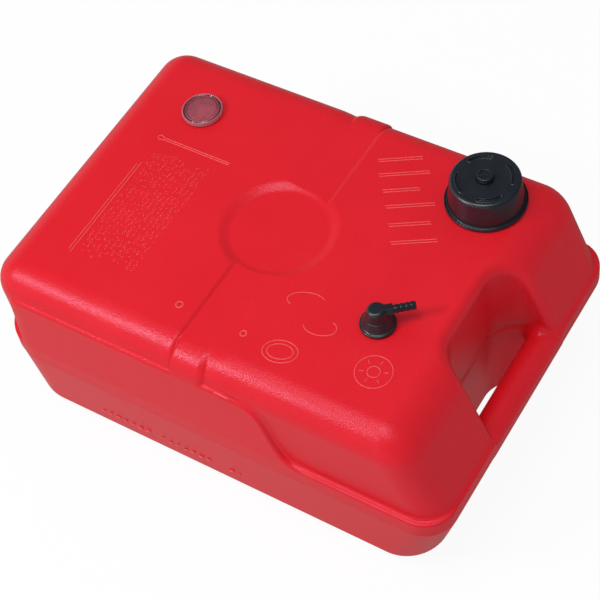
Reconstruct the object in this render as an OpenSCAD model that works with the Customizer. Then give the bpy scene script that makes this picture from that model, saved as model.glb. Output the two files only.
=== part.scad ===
// Portable outboard fuel tank: a blow-moulded shell with a screw cap and vent, a swivelling
// hose outlet on a dip tube, and a float gauge that turns its pointer with a twisted strip.

/* [Tank shell] */
// Overall length, along X
tank_l = 510; // [480:1:560]
// Overall width at the belt, along Y
tank_w = 360; // [340:1:400]
// Height of the top panel above the ground
tank_h = 209; // [195:1:240]
// Wall thickness of the moulding
wall = 3.5; // [2.5:0.1:5]
// Height of the mould's parting line, where the shell is widest
part_z = 92; // [80:1:105]
// Height of the ledge on top of the belt
ledge_z = 112; // [108:1:122]
// Step of the belt over the lower half, at the parting line
part_step = 0.4; // [0.2:0.1:1]
// How far the belt and the side panels stand proud of the upper body
belt_step = 6.5; // [4:0.5:9]
// Width of the ledge at the handle end
end_ledge = 3; // [3:0.5:8]
// Plan radius of the belt's corners at the rear
corner_r = 48; // [40:1:56]
// Plan radius of the belt's corners at the handle end
end_r = 33; // [30:1:40]
// Radius of the edge round the bottom
foot_r = 16; // [10:1:22]
// How far the sides and the rear end draw in towards the bottom
taper = 8; // [4:0.5:14]
// How far the handle end draws in towards the bottom
taper_handle = 28; // [18:1:34]
// Draft of the upper side walls
draft = 1.5; // [0.5:0.5:4]
// Radius of the edge round the top
top_r = 30; // [24:1:36]
// How far the sloping handle end leans back over its height
slope_run = 37; // [28:1:40]

/* [Side panels] */
// Height of the panels' top edge, measured down from the top
panel_drop = 28; // [22:1:40]
// Distance of the panels' rear edge from the rear end
panel_rear = 33; // [26:1:60]
// Where the panels' S-curve begins, measured from the middle of the tank
panel_turn = 42; // [20:1:60]
// Length of the S-curve
panel_run = 56; // [40:1:80]
// How far the panels' faces lean in, at their top
panel_draft = 4; // [2:0.5:5]

/* [Strap channel and dish] */
// Offset of the strap channel and dish from the middle, towards the rear
strap_back = 11; // [0:1:30]
// Width of the strap channel
strap_w = 35; // [25:1:50]
// Depth of the strap channel below the top
strap_drop = 2.5; // [1.5:0.5:4]
// Radius of the round dish in the top
dish_r = 58.5; // [45:0.5:70]
// Depth of the dish below the top
dish_drop = 5; // [3.5:0.5:7]
// Width of the sloping edge of the dish and of the channel
lip = 4; // [2:0.5:6]

/* [Handle] */
// Depth of the hand pocket from the handle end
pocket_l = 61.5; // [55:0.5:75]
// Width of the hand pocket
pocket_w = 126; // [105:1:140]
// Radius of the pocket's inner corners
pocket_r = 16; // [8:1:24]
// Diameter of the grip
grip_d = 33; // [26:0.5:38]
// How much of the grip's round is cut flat, flush with the handle end
grip_flat = 1.3; // [0.8:0.1:2]
// Height of the grip's axis above the parting line
grip_up = 6; // [0:1:10]

/* [Filler and cap] */
// Distance of the filler from the handle end
filler_in = 103; // [95:1:120]
// Distance of the filler from the far side
filler_side = 64; // [60:1:90]
// Radius of the filler bore
filler_bore_r = 25; // [20:0.5:25.5]
// Wall of the filler neck
neck_wall = 3; // [2.5:0.1:3.2]
// Height of the filler neck above the top
neck_h = 25; // [16:0.5:28]
// Room for the neck's thread, outside the neck
thread_h = 1.8; // [1.2:0.1:2]
// Height of the collar round the foot of the neck
neck_collar = 3; // [2:0.5:5]
// Radius of the cap's bottom flange
cap_flange_r = 40.3; // [38:0.1:46]
// Thickness of the cap's bottom flange
cap_flange_t = 4; // [3:0.5:5]
// Radius of the cap's top face
cap_top_r = 35; // [34.5:0.1:37]
// Thickness of the cap's top
cap_top_t = 5; // [4:0.5:7]
// Thickness of the cap gasket
gasket_t = 2.5; // [1.5:0.1:3.5]
// Radius of the vent knob
vent_knob_r = 8.2; // [7:0.1:11]
// Height of the vent knob
vent_knob_h = 5; // [4:0.5:8]
// Radius of the vent stem
vent_stem_r = 3; // [2.5:0.1:3.5]

/* [Hose outlet] */
// Distance of the hose outlet from the handle end
outlet_in = 124.5; // [115:0.5:140]
// Distance of the hose outlet from the middle, towards the near side
outlet_side = 56; // [40:1:90]
// Radius of the outlet's flange
outlet_flange_r = 17.4; // [16:0.1:21]
// Height of the bell under the swivel
bell_h = 12; // [10:0.5:16]
// Radius of the swivel's head
swivel_r = 7.8; // [7.6:0.1:9]
// Direction that the hose tail points in at rest
tail_turn = 39; // [0:1:90]
// Reach of the hose tail from the swivel's axis
tail_l = 36.5; // [33:0.5:45]
// Radius of the hose tail between its barbs
tail_r = 3.6; // [3.5:0.1:4]
// Radius of the barbs
barb_r = 4.4; // [4.2:0.1:5]
// Radius of the fuel way
fuel_r = 2.6; // [2:0.1:2.8]
// Outer radius of the dip tube
dip_r = 4.2; // [3.8:0.1:4.6]

/* [Gauge] */
// Distance of the gauge from the rear end
gauge_in = 95; // [85:1:120]
// Distance of the gauge from the far side
gauge_side = 85.5; // [70:0.5:110]
// Outer radius of the gauge bezel
bezel_r = 21.3; // [20.6:0.1:24]
// Height of the gauge bezel
bezel_h = 5; // [4:0.5:7]
// Radius of the gauge hole in the tank
gauge_hole_r = 18; // [17.5:0.1:18.5]
// Radius of the float
float_r = 14.5; // [13:0.5:15.5]
// Height of the float
float_h = 24; // [18:1:32]
// Width of the twisted strip
strip_w = 7; // [5:0.5:8]
// Thickness of the twisted strip
strip_t = 0.8; // [0.6:0.1:1]
// Turn of the strip over the float's travel, in degrees
strip_turn = 265; // [180:5:300]
// Radius of the guide rails
rail_r = 2; // [1.6:0.1:2.2]

/* [Hidden] */

red = [0.82, 0.09, 0.13];
black = [0.09, 0.09, 0.11];
rubber = [0.05, 0.05, 0.05];
steel = [0.75, 0.76, 0.78];
clear = [0.85, 0.88, 0.9, 0.4];

$fn = 72;
hull_fn = 36;
// a slice thin enough to stand for a flat outline in a hull
skin = 0.02;
// overlap of solids that are fused, and the overrun of cuts
bite = 1;
over = 20;
// radius of the side panels' rear corner
panel_r = 14;
// running clearance of turning pieces, and the gap between pieces that move apart
fit = 0.05;
gap = 0.3;

x_end = tank_l / 2;
y_side = tank_w / 2;
strap_x = -strap_back;
// how far the upper half reaches down into the belt, short of coming out through its end
sunk = min(12, (end_ledge - 0.5) * (tank_h - ledge_z) / slope_run);
grip_r = grip_d / 2;
grip_x = x_end - grip_r + grip_flat;
grip_z = part_z + grip_up;
pocket_x = x_end - pocket_l;
filler_x = x_end - filler_in;
filler_y = y_side - filler_side;
outlet_x = x_end - outlet_in;
outlet_y = -outlet_side;
gauge_x = gauge_in - x_end;
gauge_y = y_side - gauge_side;

// ---------------------------------------------------------------- the tank shell

// Levels of the shell: [height, rear x, handle-end x, half width, corner radius at the rear,
// corner radius at the handle end].
function foot_level(a, ins) =
    let (r = foot_r - ins, draw = ins + r * (1 - sin(a)), corner = corner_r - taper / 2 - draw)
    [ins + r * (1 - cos(a)), -x_end + taper + draw, x_end - taper_handle - draw,
     y_side - taper - draw, corner, corner];
function belt_level(z, ins) =
    [z, -x_end + ins, x_end - ins, y_side - ins, corner_r - ins, end_r - ins];
function upper_level(z, ins) =
    let (k = (z - ledge_z) / (tank_h - ledge_z))
    [z, -x_end + belt_step + draft * k + ins, x_end - end_ledge - slope_run * k - ins,
     y_side - belt_step - draft * k - ins, corner_r - belt_step - (corner_r - belt_step - top_r) * k - ins,
     end_r - 1 - (end_r - 1 - top_r) * k - ins];
function crown_level(a, ins) =
    let (r = top_r - ins, l = upper_level(tank_h - skin - top_r * (1 - sin(a)) - ins * sin(a), ins),
         draw = r * (1 - cos(a)))
    [l[0], l[1] + draw, l[2] - draw, l[3] - draw, max(l[4] - draw, 1), max(l[5] - draw, 1)];

module outline_at(l) {
    for (c = [[l[1] + l[4], l[4]], [l[2] - l[5], l[5]]])
        for (y = [-l[3] + c[1], l[3] - c[1]])
            translate([c[0], y, l[0]])
                cylinder(r = c[1], h = skin, $fn = hull_fn);
}

// The lower half, up to the parting line: drawn in towards the bottom, with a soft edge.
module lower_half(ins) {
    hull() {
        for (a = [0:22.5:90])
            outline_at(foot_level(a, ins));
        outline_at(belt_level(part_z, ins + part_step));
        outline_at(belt_level(part_z + 3, ins + part_step));
    }
}

// The upper half: nearly upright sides, a sloping handle end and a soft edge round the top.
module upper_half(ins) {
    hull() {
        outline_at(upper_level(ledge_z - sunk, ins));
        for (a = [0:15:90])
            outline_at(crown_level(a, ins));
    }
}

// Side view of the belt round the shell.
module belt_side(ins) {
    translate([-tank_l, part_z])
        square([2 * tank_l, ledge_z - part_z - ins]);
}

// Side view of a raised side panel, with its S-curve down to the belt.
module panel_outline(ins) {
    top = tank_h - panel_drop - ins;
    low = ledge_z - bite;
    rear = -x_end + panel_rear + ins;
    r = panel_r - ins;
    polygon(concat(
        [[rear, low - ins]],
        [for (a = [180:-15:90]) [rear + r + r * cos(a), top - r + r * sin(a)]],
        [for (t = [0:0.1:1])
            [panel_turn - ins + panel_run * t, low + (top - low) * (1 + cos(180 * t)) / 2 - ins * t]]
    ));
}

module belt_outline(ins, h) {
    l = belt_level(0, ins);
    linear_extrude(h)
        union() {
            translate([l[1], -l[3] + l[4]])
                square([l[2] - l[1] - l[5], 2 * (l[3] - l[4])]);
            translate([l[1] + l[4], -l[3] + l[5]])
                square([l[2] - l[1] - l[4], 2 * (l[3] - l[5])]);
            translate([l[1] + l[4], -l[3]])
                square([l[2] - l[1] - l[4] - l[5], 2 * l[3]]);
            for (c = [[l[1] + l[4], l[4]], [l[2] - l[5], l[5]]])
                for (y = [-l[3] + c[1], l[3] - c[1]])
                    translate([c[0], y])
                        circle(c[1]);
        }
}

// End view of the belt and panels: the panels lean in from the ledge upwards.
module panel_lean(ins) {
    half = y_side - ins;
    lean = panel_draft / (tank_h - panel_drop - ledge_z);
    polygon([
        [-half - lean * ledge_z, -over], [half + lean * ledge_z, -over], [half + lean * ledge_z, 0],
        [half - lean * (tank_h - ledge_z), tank_h], [-half + lean * (tank_h - ledge_z), tank_h],
        [-half - lean * ledge_z, 0]
    ]);
}

// The belt and the side panels are one face, upright up to the ledge.
module belt_and_panels(ins) {
    intersection() {
        belt_outline(ins, tank_h);
        rotate([90, 0, 90])
            linear_extrude(2 * tank_l, center = true)
                panel_lean(ins);
        rotate([90, 0, 0])
            linear_extrude(tank_w + over, center = true)
                union() {
                    belt_side(ins);
                    panel_outline(ins);
                }
    }
}

// The strap's path: a band over the top whose ends stand flush with the side panels.
module strap_band(ins) {
    half = y_side - ins;
    top = tank_h - strap_drop - ins;
    r = top_r - ins;
    translate([strap_x, 0, 0])
        rotate([90, 0, 90])
            linear_extrude(strap_w - 2 * ins, center = true)
                polygon(concat(
                    [[-half, ledge_z - bite - ins], [half, ledge_z - bite - ins]],
                    [for (a = [0:15:90]) [half - r + r * cos(a), top - r + r * sin(a)]],
                    [for (a = [90:15:180]) [-half + r + r * cos(a), top - r + r * sin(a)]]
                ));
}

// What the strap channel takes out of the top, wider at the top by its lips.
module channel_cut(ins) {
    rotate([90, 0, 0])
        linear_extrude(tank_w + over, center = true)
            translate([strap_x, tank_h - strap_drop - ins])
                polygon([
                    [-strap_w / 2 - ins, 0], [strap_w / 2 + ins, 0],
                    [strap_w / 2 + ins + lip, strap_drop + ins + bite],
                    [-strap_w / 2 - ins - lip, strap_drop + ins + bite]
                ]);
}

module dish_cut(ins) {
    translate([strap_x, 0, tank_h - dish_drop - ins])
        cylinder(r1 = dish_r - lip + ins, r2 = dish_r + ins, h = dish_drop + ins + skin);
}

// The hand pocket goes through the shell from top to bottom and is open at the end.
module pocket_cut(ins, z0, z1) {
    translate([0, 0, z0])
        linear_extrude(z1 - z0)
            union() {
                translate([pocket_x + pocket_r, -pocket_w / 2 - ins])
                    square([pocket_l + over, pocket_w + 2 * ins]);
                translate([pocket_x - ins, -pocket_w / 2 + pocket_r])
                    square([pocket_l + over, pocket_w - 2 * pocket_r]);
                for (y = [-1, 1])
                    translate([pocket_x + pocket_r, y * (pocket_w / 2 - pocket_r)])
                        circle(pocket_r + ins);
            }
}

module grip(r, extra) {
    difference() {
        translate([grip_x, 0, grip_z])
            rotate([90, 0, 0])
                cylinder(r = r, h = pocket_w + 2 * extra, center = true);
        translate([x_end, -tank_w / 2, grip_z - tank_h / 2])
            cube([over, tank_w, tank_h]);
    }
}

// The outside of the shell at ins = 0, and the space inside it at ins = wall.
module shell_form(ins) {
    difference() {
        union() {
            lower_half(ins);
            difference() {
                upper_half(ins);
                channel_cut(ins == 0 ? 0 : wall);
            }
            belt_and_panels(ins);
            strap_band(ins);
        }
        dish_cut(ins);
    }
}

neck_r = filler_bore_r + neck_wall;
neck_top = tank_h + neck_h;

module filler_neck() {
    translate([filler_x, filler_y, tank_h - wall - 5])
        cylinder(r = neck_r, h = neck_h + wall + 5);
    translate([filler_x, filler_y, tank_h - bite])
        cylinder(r = neck_r + thread_h, h = bite + neck_collar);
}

outlet_hole_r = 11.4;
boss_h = 14;

module outlet_boss() {
    translate([outlet_x, outlet_y, tank_h - boss_h])
        cylinder(r = outlet_hole_r + wall, h = boss_h - skin);
}

module tank_body() {
    color(red)
        difference() {
            union() {
                difference() {
                    shell_form(0);
                    pocket_cut(0, -over, tank_h + over);
                    difference() {
                        shell_form(wall);
                        pocket_cut(wall, -over, tank_h + over);
                    }
                }
                difference() {
                    grip(grip_r, 2 * wall);
                    grip(grip_r - wall, 3 * wall);
                }
                filler_neck();
                outlet_boss();
            }
            grip_way();
            translate([filler_x, filler_y, tank_h - over])
                cylinder(r = filler_bore_r, h = over + neck_h + bite);
            translate([outlet_x, outlet_y, tank_h - over])
                cylinder(r = outlet_hole_r, h = over + bite);
            translate([gauge_x, gauge_y, tank_h - over])
                cylinder(r = gauge_hole_r, h = over + bite);
        }
}

// The hollow of the grip, open into the shell at both ends.
module grip_way() {
    grip(grip_r - wall, 2 * wall + bite);
}

// ---------------------------------------------------------------- the filler cap

cap_z = tank_h + gap;
cap_bore_r = neck_r + thread_h + 0.6;
cap_in_z = neck_top + gasket_t;
cap_top_z = cap_in_z + cap_top_t;
cap_skirt_r = cap_bore_r + 6.4;
cap_edge_r = 4;
// where the grooves stand round the cap, at rest
groove_turn = 13;

// Half section of the cap, revolved.
module cap_section() {
    polygon(concat(
        [[vent_stem_r + fit, cap_in_z - cap_z], [cap_bore_r, cap_in_z - cap_z], [cap_bore_r, 0],
         [cap_flange_r - 1, 0], [cap_flange_r, 1], [cap_flange_r, cap_flange_t - 1.5],
         [cap_flange_r - 1.5, cap_flange_t], [cap_skirt_r, cap_flange_t + 1]],
        [for (a = [0:15:90])
            [cap_top_r - cap_edge_r + cap_edge_r * cos(a),
             cap_top_z - cap_z - cap_edge_r + cap_edge_r * sin(a)]],
        [[vent_stem_r + fit, cap_top_z - cap_z]]
    ));
}

// The four curved grooves near the rim of the cap's top.
module cap_grooves() {
    for (a = [0:90:270])
        rotate(a + groove_turn)
            rotate_extrude(angle = 48)
                translate([cap_top_r - 8.5, cap_top_z - cap_z - 1.6])
                    square([3, 3]);
}

module cap_shell() {
    color(black)
        translate([filler_x, filler_y, cap_z]) {
            difference() {
                union() {
                    rotate_extrude()
                        cap_section();
                    translate([0, 0, cap_top_z - cap_z - bite])
                        cylinder(r = vent_knob_r + 4, h = bite + 0.8);
                }
                cap_grooves();
                translate([0, 0, cap_top_z - cap_z - 0.7])
                    cylinder(r = vent_knob_r + gap, h = 2);
                translate([0, 0, -bite])
                    cylinder(r = vent_stem_r + fit, h = over * 3);
            }
        }
}

liner_t = 1.8;

module cap_gasket() {
    color(rubber)
        translate([filler_x, filler_y, neck_top])
            difference() {
                cylinder(r = cap_bore_r - gap, h = gasket_t);
                translate([0, 0, -bite])
                    cylinder(r = filler_bore_r - 3, h = gasket_t + 2 * bite);
            }
}

// The disc that clips into the cap and keeps the gasket in place.
module cap_liner() {
    color(black)
        translate([filler_x, filler_y, cap_in_z])
            mirror([0, 0, 1])
                difference() {
                    union() {
                        cylinder(r = filler_bore_r - 3 - gap, h = gasket_t);
                        translate([0, 0, gasket_t + gap])
                            cylinder(r = filler_bore_r - 1, h = liner_t);
                        cylinder(r = filler_bore_r - 5, h = gasket_t + gap + liner_t);
                    }
                    translate([0, 0, -bite])
                        cylinder(r = 8, h = over);
                    for (a = [0:60:300])
                        rotate(a)
                            translate([14, 0, -bite])
                                cylinder(r = 1.5, h = over);
                }
}

vent_z = cap_top_z - 0.7;
vent_seal_r = 0.9;
vent_reach = cap_top_t + 5;

// The vent screw: a knurled knob on a stem that goes through the cap.
module vent_screw() {
    color(black)
        translate([filler_x, filler_y, vent_z + 2 * vent_seal_r]) {
            difference() {
                union() {
                    cylinder(r = vent_knob_r - 0.8, h = vent_knob_h);
                    translate([0, 0, 0.6])
                        cylinder(r = vent_knob_r - 0.2, h = vent_knob_h - 1.4);
                }
                for (a = [0:30:330])
                    rotate(a)
                        translate([vent_knob_r + 0.3, 0, 0.6])
                            cylinder(r = 1.1, h = vent_knob_h, $fn = 16);
                translate([0, 0, vent_knob_h - 0.8])
                    difference() {
                        cylinder(r = vent_knob_r - 2.4, h = 2);
                        translate([-vent_knob_r, -0.9, -bite])
                            cube([2 * vent_knob_r, 1.8, 4]);
                    }
            }
            translate([0, 0, -vent_reach - 2 * vent_seal_r])
                difference() {
                    cylinder(r = vent_stem_r, h = vent_reach + 2 * vent_seal_r + bite);
                    translate([0, 0, 1.5])
                        difference() {
                            cylinder(r = vent_stem_r + 1, h = 1);
                            cylinder(r = vent_stem_r - 0.8, h = 1);
                        }
                }
        }
}

module vent_seal() {
    color(rubber)
        translate([filler_x, filler_y, vent_z + vent_seal_r])
            rotate_extrude()
                translate([vent_stem_r + 0.1 + vent_seal_r, 0])
                    circle(vent_seal_r, $fn = 24);
}

// A spring clip in the stem's groove, so that the screw can't be lost.
module vent_clip() {
    color(steel)
        translate([filler_x, filler_y, vent_z - vent_reach + 1.6])
            rotate_extrude(angle = 300)
                translate([vent_stem_r - 0.6, 0])
                    square([2.6, 0.8]);
}

// ---------------------------------------------------------------- the hose outlet

outlet_seal_t = 1.6;
outlet_z = tank_h + outlet_seal_t;
socket_r = 6;
socket_floor = -2;
spigot_r = socket_r - fit;
spigot_z = outlet_z + socket_floor + 0.5;
head_z = outlet_z + bell_h + gap;
head_h = 11.5;
tail_z = head_z + 5.6;
shank_l = boss_h + 5;
bell_r = outlet_flange_r - 2.6;

module at_outlet(z) {
    translate([outlet_x, outlet_y, z])
        children();
}

module outlet_base() {
    color(black)
        at_outlet(outlet_z)
            rotate_extrude()
                difference() {
                    polygon(concat(
                        [[0, -shank_l], [outlet_hole_r - 1.6, -shank_l], [outlet_hole_r - 0.3, -shank_l + 2],
                         [outlet_hole_r - 0.3, 0], [outlet_flange_r - 0.8, 0], [outlet_flange_r, 0.8],
                         [outlet_flange_r, 1.8], [outlet_flange_r - 0.8, 2.6]],
                        [for (t = [0:0.125:1])
                            [bell_r - (bell_r - swivel_r - 1.2) * (0.7 * t + 0.3 * sin(90 * t)),
                             2.6 + (bell_h - 2.6) * t]],
                        [[0, bell_h]]
                    ));
                    translate([0, socket_floor])
                        square([socket_r, bell_h + over]);
                    translate([0, -shank_l - bite])
                        square([dip_r, 10 + bite]);
                    translate([0, -shank_l])
                        square([fuel_r, shank_l + over]);
                }
}

module outlet_gasket() {
    color(rubber)
        at_outlet(tank_h)
            difference() {
                cylinder(r = outlet_flange_r - 0.6, h = outlet_seal_t);
                translate([0, 0, -bite])
                    cylinder(r = outlet_hole_r, h = outlet_seal_t + 2 * bite);
            }
}

// Profile of the hose tail along its own axis: a collar, the stem and the barbs.
barb_step = 4.8;
collar_r = 5;
collar_out = swivel_r + 7.7;

module tail_section() {
    polygon(concat(
        [[0, 0], [collar_r, 0], [collar_r, collar_out], [tail_r, collar_out],
         [tail_r, tail_l - 4 * barb_step]],
        [for (i = [3:-1:0]) each [
            [barb_r, tail_l - (i + 1) * barb_step + 0.2],
            [barb_r, tail_l - (i + 1) * barb_step + 1],
            [tail_r, tail_l - i * barb_step]
        ]],
        [[0, tail_l]]
    ));
}

module swivel_elbow() {
    color(black)
        difference() {
            union() {
                at_outlet(head_z)
                    rotate_extrude()
                        polygon(concat(
                            [[0, 0], [swivel_r + 1.1, 0], [swivel_r + 0.9, 1.2]],
                            [for (a = [0:15:75])
                                [swivel_r - 2.4 + 2.4 * cos(a), head_h - 2.4 + 2.4 * sin(a)]],
                            [[swivel_r - 2.4, head_h], [0, head_h]]
                        ));
                at_outlet(spigot_z)
                    difference() {
                        cylinder(r = spigot_r, h = head_z - spigot_z + bite);
                        translate([0, 0, 3])
                            difference() {
                                cylinder(r = spigot_r + 1, h = 2.2);
                                cylinder(r = spigot_r - 1.5, h = 2.2);
                            }
                    }
                at_outlet(tail_z)
                    rotate([0, 90, tail_turn])
                        rotate_extrude()
                            tail_section();
            }
            at_outlet(spigot_z - bite)
                cylinder(r = fuel_r, h = tail_z - spigot_z + bite);
            at_outlet(tail_z)
                rotate([0, 90, tail_turn])
                    cylinder(r = fuel_r, h = tail_l + bite);
        }
}

swivel_seal_r = 0.75;

module swivel_seal() {
    color(rubber)
        at_outlet(spigot_z + 4.1)
            rotate_extrude()
                translate([spigot_r - swivel_seal_r, 0])
                    circle(swivel_seal_r, $fn = 24);
}

dip_foot = wall + 9;
strainer_r = 8;
strainer_h = 20;

module dip_tube() {
    color(black)
        at_outlet(dip_foot)
            difference() {
                cylinder(r = dip_r, h = outlet_z - shank_l + 10 - dip_foot);
                translate([0, 0, -bite])
                    cylinder(r = fuel_r, h = tank_h);
            }
}

// The strainer: a ribbed cage with slots, pushed on the foot of the dip tube.
module dip_strainer() {
    color(black)
        at_outlet(wall + 3)
            difference() {
                cylinder(r = strainer_r, h = strainer_h);
                translate([0, 0, -bite])
                    cylinder(r = strainer_r - 1.5, h = strainer_h - 4 + bite);
                cylinder(r = dip_r, h = strainer_h + bite);
                for (a = [0:30:330])
                    for (z = [4, 10])
                        rotate(a)
                            translate([strainer_r - 3, -0.9, z])
                                cube([6, 1.8, 4]);
            }
}

module strainer_cap() {
    color(black)
        at_outlet(wall + 1)
            union() {
                cylinder(r = strainer_r, h = 2);
                cylinder(r = strainer_r - 1.5, h = 4.5);
            }
}

// ---------------------------------------------------------------- the float gauge

gauge_seal_t = 1.4;
gauge_z = tank_h + gauge_seal_t;
sleeve_r = gauge_hole_r - 0.4;
cup_r = sleeve_r - 2;
// depth of the gauge's cup below the top
cup_drop = 8;
cup_z = tank_h - cup_drop;
cup_floor_t = 2;
rail_x = 11;
foot_z = wall + 4;
foot_t = 4;
spindle_r = 1.2;
float_z = foot_z + foot_t + gap;
float_top = cup_z - cup_floor_t - 1;
travel = float_top - float_z - float_h;
slot_t = 2.4;
slot_z = float_z + float_h - slot_t / 2;
turn_per_mm = strip_turn / travel;
strip_z0 = foot_z + foot_t + gap;
strip_z1 = cup_z - cup_floor_t - gap;

module at_gauge(z) {
    translate([gauge_x, gauge_y, z])
        children();
}

module gauge_body() {
    color(black)
        at_gauge(0)
            difference() {
                union() {
                    translate([0, 0, gauge_z])
                        cylinder(r = bezel_r - 1, h = 2);
                    translate([0, 0, cup_z - cup_floor_t])
                        cylinder(r = sleeve_r, h = gauge_z - cup_z + cup_floor_t + bite);
                }
                translate([0, 0, cup_z])
                    cylinder(r = cup_r, h = over);
                translate([0, 0, cup_z - over])
                    cylinder(r = spindle_r + fit, h = 2 * over);
                for (x = [-rail_x, rail_x])
                    translate([x, 0, cup_z - over])
                        cylinder(r = rail_r, h = over + 1 - cup_floor_t / 2);
            }
}

module gauge_gasket() {
    color(rubber)
        at_gauge(tank_h)
            difference() {
                cylinder(r = bezel_r - 1.2, h = gauge_seal_t);
                translate([0, 0, -bite])
                    cylinder(r = gauge_hole_r, h = gauge_seal_t + 2 * bite);
            }
}

// Two rods that guide the float, from the cup's floor to the foot.
module gauge_rails() {
    color(steel)
        for (x = [-rail_x, rail_x])
            at_gauge(foot_z)
                translate([x, 0, 0])
                    cylinder(r = rail_r, h = cup_z - cup_floor_t / 2 - foot_z);
}

module gauge_foot() {
    color(black)
        at_gauge(foot_z)
            difference() {
                union() {
                    cylinder(r = 6, h = foot_t);
                    translate([-rail_x, -3.5, 0])
                        cube([2 * rail_x, 7, foot_t]);
                    for (x = [-rail_x, rail_x])
                        translate([x, 0, 0])
                            cylinder(r = 3.5, h = foot_t);
                }
                for (x = [-rail_x, rail_x])
                    translate([x, 0, -bite])
                        cylinder(r = rail_r, h = foot_t + 2 * bite);
                translate([0, 0, 1.5])
                    cylinder(r = spindle_r + fit, h = foot_t);
            }
}

dial_z = cup_z + 2.5;
dial_t = 0.8;

// The dial plate, held on a step of the cup, with a raised scale of plain ticks.
module gauge_dial() {
    color([0.85, 0.84, 0.82])
        at_gauge(cup_z)
            difference() {
                union() {
                    translate([0, 0, dial_z - cup_z])
                        cylinder(r = cup_r - gap, h = dial_t);
                    difference() {
                        cylinder(r = cup_r - gap, h = 3);
                        translate([0, 0, -bite])
                            cylinder(r = cup_r - 2, h = over);
                    }
                    for (i = [0:8])
                        rotate(-90 - i * strip_turn / 8)
                            translate([cup_r - 6, -0.3, dial_z - cup_z + dial_t / 2])
                                cube([3.4, 0.6, dial_t / 2 + 0.3]);
                }
                translate([0, 0, -bite])
                    cylinder(r = spindle_r + gap, h = over);
            }
}

module gauge_pointer() {
    color([0.85, 0.2, 0.1])
        at_gauge(dial_z + dial_t + 0.8)
            difference() {
                union() {
                    cylinder(r = 3, h = 1.2);
                    rotate(-90)
                        linear_extrude(0.8)
                            polygon([[-5, -1.6], [0, -1.4], [cup_r - 4, -0.4], [cup_r - 4, 0.4],
                                     [0, 1.4], [-5, 1.6]]);
                }
                translate([0, 0, -bite])
                    cylinder(r = spindle_r, h = 4);
            }
}

// The twisted strip: the float's slot turns it as the float rises.
module gauge_strip() {
    color(steel) {
        at_gauge(strip_z0)
            rotate((strip_z0 - slot_z) * turn_per_mm)
                linear_extrude(strip_z1 - strip_z0, twist = (strip_z0 - strip_z1) * turn_per_mm,
                               slices = 48, segments = 4)
                    square([strip_w, strip_t], center = true);
        at_gauge(foot_z + 1.8)
            cylinder(r = spindle_r, h = strip_z0 - foot_z - 1.8 + 2, $fn = 24);
        at_gauge(strip_z1 - 0.5)
            cylinder(r = spindle_r, h = dial_z + dial_t + 2 - strip_z1 + 0.5, $fn = 24);
    }
}

module gauge_float() {
    color([0.15, 0.14, 0.13])
        at_gauge(float_z)
            difference() {
                union() {
                    translate([0, 0, 1])
                        cylinder(r = float_r, h = float_h - 2);
                    cylinder(r = float_r - 1, h = float_h);
                }
                translate([0, 0, -bite])
                    cylinder(r = strip_w / 2 + 0.8, h = float_h - slot_t + bite);
                translate([0, 0, float_h - slot_t / 2])
                    cube([strip_w + 0.9, strip_t + 1.1, slot_t + 2 * bite], center = true);
                for (x = [-rail_x, rail_x])
                    translate([x, 0, -bite])
                        cylinder(r = rail_r + gap, h = float_h + 2 * bite);
            }
}

lens_t = 2;

module gauge_lens_seal() {
    color(rubber)
        at_gauge(gauge_z + 2)
            difference() {
                cylinder(r = cup_r + 1.4, h = 0.8);
                translate([0, 0, -bite])
                    cylinder(r = cup_r - 0.2, h = 3);
            }
}

module gauge_lens() {
    color(clear)
        at_gauge(gauge_z + 2.8)
            union() {
                cylinder(r = cup_r + 1.4, h = lens_t - 1);
                cylinder(r1 = cup_r + 0.6, r2 = cup_r - 1, h = lens_t);
            }
}

// The bezel: a ring that snaps over the flange and traps the lens.
module gauge_bezel() {
    color(clear)
        at_gauge(gauge_z)
            rotate_extrude()
                polygon([
                    [bezel_r - 1 + fit, 0], [bezel_r - 0.3, 0], [bezel_r, 0.5], [bezel_r, bezel_h - 1.8],
                    [bezel_r - 1.6, bezel_h - 0.4], [bezel_r - 3.4, bezel_h], [cup_r + 0.8, bezel_h - 0.4],
                    [cup_r + 0.8, 2.8 + lens_t - 1 + fit], [bezel_r - 1 + fit, 2.8 + lens_t - 1 + fit]
                ]);
}

tank_body();
cap_shell();
cap_gasket();
cap_liner();
vent_screw();
vent_seal();
vent_clip();
outlet_base();
outlet_gasket();
swivel_elbow();
swivel_seal();
dip_tube();
dip_strainer();
strainer_cap();
gauge_body();
gauge_gasket();
gauge_rails();
gauge_foot();
gauge_dial();
gauge_pointer();
gauge_strip();
gauge_float();
gauge_lens_seal();
gauge_lens();
gauge_bezel();
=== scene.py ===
import math

import bpy
import numpy as np
import openvdb
from mathutils import Matrix, Vector


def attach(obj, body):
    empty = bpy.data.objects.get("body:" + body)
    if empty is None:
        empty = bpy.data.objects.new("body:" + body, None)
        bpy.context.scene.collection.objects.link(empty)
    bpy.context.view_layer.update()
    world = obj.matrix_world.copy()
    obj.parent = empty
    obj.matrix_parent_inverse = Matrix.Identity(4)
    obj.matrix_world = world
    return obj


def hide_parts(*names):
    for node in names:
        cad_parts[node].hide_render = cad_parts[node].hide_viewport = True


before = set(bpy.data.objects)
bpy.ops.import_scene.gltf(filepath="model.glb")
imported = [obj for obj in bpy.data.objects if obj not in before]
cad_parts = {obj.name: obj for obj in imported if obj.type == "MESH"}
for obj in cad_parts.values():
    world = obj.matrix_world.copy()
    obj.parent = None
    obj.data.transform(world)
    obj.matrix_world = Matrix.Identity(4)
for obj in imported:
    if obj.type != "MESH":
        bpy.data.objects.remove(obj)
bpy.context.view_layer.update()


# ---- The studio -------------------------------------------------------------------------
# A white paper floor in a pale surround, with a key light at the near left and two wide soft
# lights overhead. A long lens looks down over the near corner of the filler end.

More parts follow.
